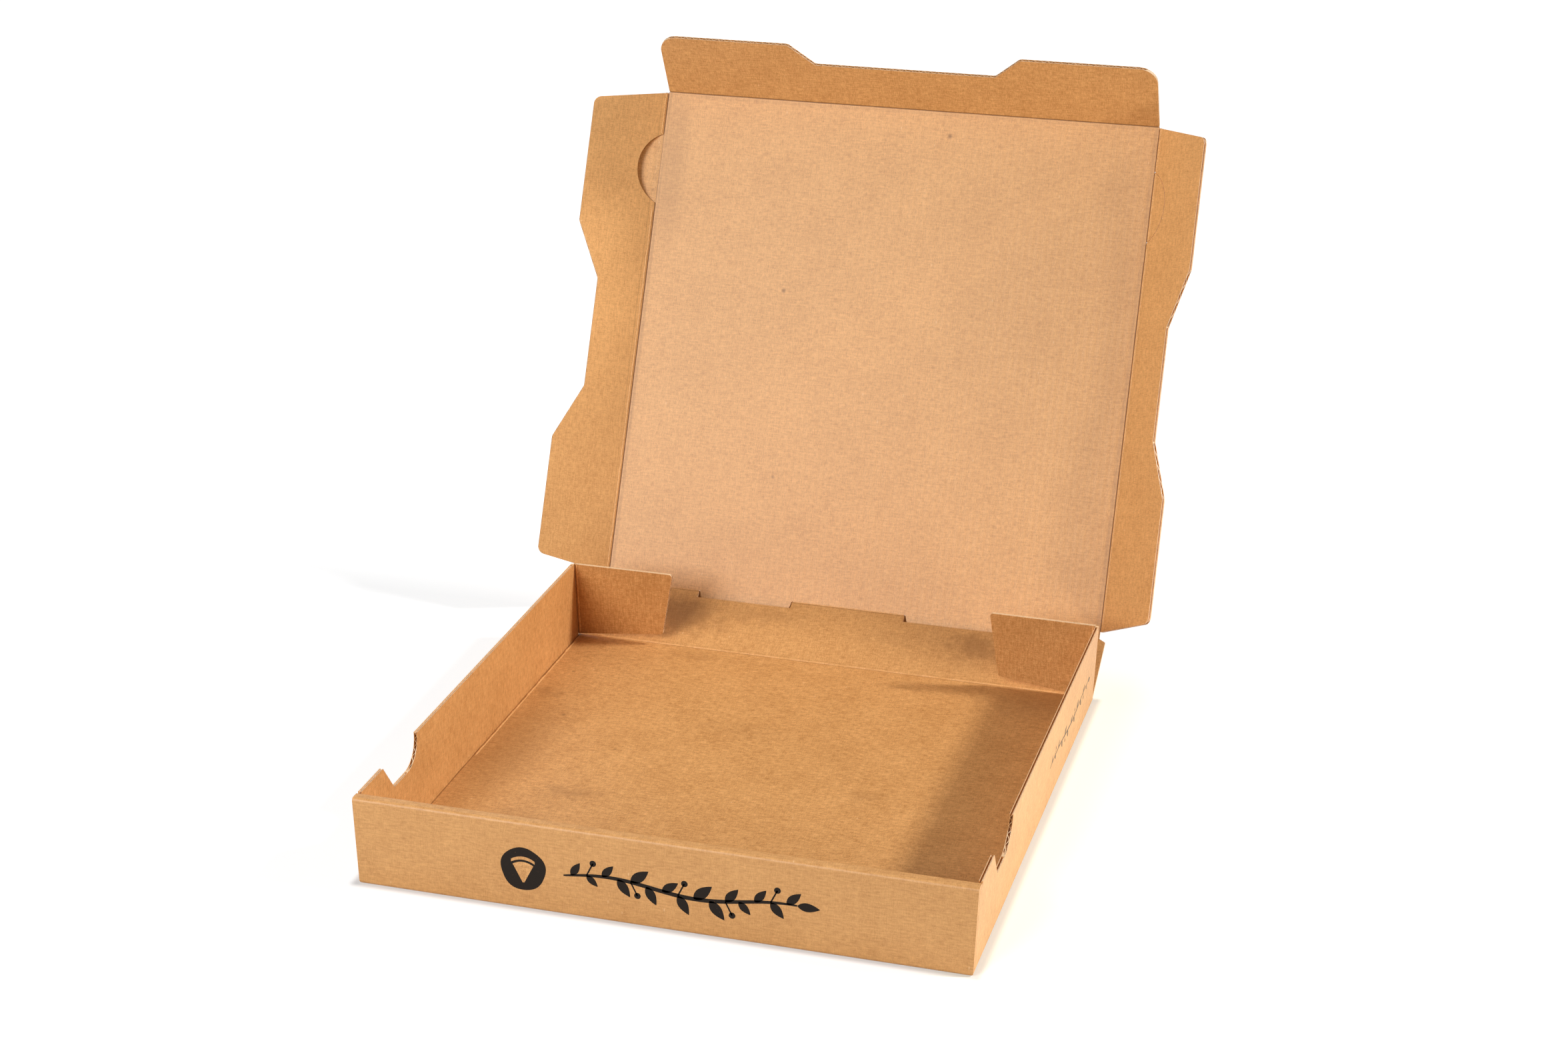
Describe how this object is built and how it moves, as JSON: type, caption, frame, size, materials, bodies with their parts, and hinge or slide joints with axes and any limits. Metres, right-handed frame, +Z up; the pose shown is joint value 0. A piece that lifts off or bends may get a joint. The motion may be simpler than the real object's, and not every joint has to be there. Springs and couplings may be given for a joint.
{
  "type": "pizza box",
  "caption": "Open one-piece pizza box in corrugated board: low tray with a rolled-over front wall, folding rear wall, and a hinged lid with tuck flaps.",
  "frame": {"origin": "centre of the tray's underside, on the table", "axes": "+Z up, +X to the right seen from the front, +Y from the rolled-over front wall to the rear fold"},
  "size_m": [0.3143, 0.4082, 0.2783],
  "materials": {
    "kraft_board": "matt uncoated kraft paper"
  },
  "bodies": {
    "base_tray": {"base_tray": "kraft_board"},
    "rear_wall": {"rear_wall": "kraft_board"},
    "lid_panel": {"lid_panel": "kraft_board"},
    "lid_front_flap": {"lid_front_flap": "kraft_board"},
    "lid_left_flap": {"lid_left_flap": "kraft_board"},
    "lid_right_flap": {"lid_right_flap": "kraft_board"},
    "left_corner_flap": {"left_corner_flap": "kraft_board"},
    "right_corner_flap": {"right_corner_flap": "kraft_board"}
  },
  "joints": [
    {"name": "rear_wall_fold", "type": "hinge", "parent": "base_tray", "child": "rear_wall", "pos_m": [0, 0.132, 0.0016], "axis": [1, 0, 0], "range_deg": [-21.8, 68.2]},
    {"name": "lid_fold", "type": "hinge", "parent": "rear_wall", "child": "lid_panel", "pos_m": [0, 0.16821, 0.01608], "axis": [1, 0, 0], "range_deg": [-43.3, 46.7]},
    {"name": "lid_front_flap_fold", "type": "hinge", "parent": "lid_panel", "child": "lid_front_flap", "pos_m": [0, 0.27477, 0.24566], "axis": [1, 0, 0], "range_deg": [-53.3, 36.7]},
    {"name": "lid_left_flap_fold", "type": "hinge", "parent": "lid_panel", "child": "lid_left_flap", "pos_m": [-0.1269, 0.16821, 0.01608], "axis": [0, 0.421, 0.907], "range_deg": [-31.1, 58.9]},
    {"name": "lid_right_flap_fold", "type": "hinge", "parent": "lid_panel", "child": "lid_right_flap", "pos_m": [0.1269, 0.16821, 0.01608], "axis": [0, -0.421, -0.907], "range_deg": [-47, 43]},
    {"name": "left_corner_flap_fold", "type": "hinge", "parent": "base_tray", "child": "left_corner_flap", "pos_m": [-0.1294, 0.13, 0.0016], "axis": [0.0349, 0, -0.9994], "range_deg": [-15, 20]},
    {"name": "right_corner_flap_fold", "type": "hinge", "parent": "base_tray", "child": "right_corner_flap", "pos_m": [0.1294, 0.13, 0.0016], "axis": [0.0349, 0, 0.9994], "range_deg": [-15, 20]}
  ]
}
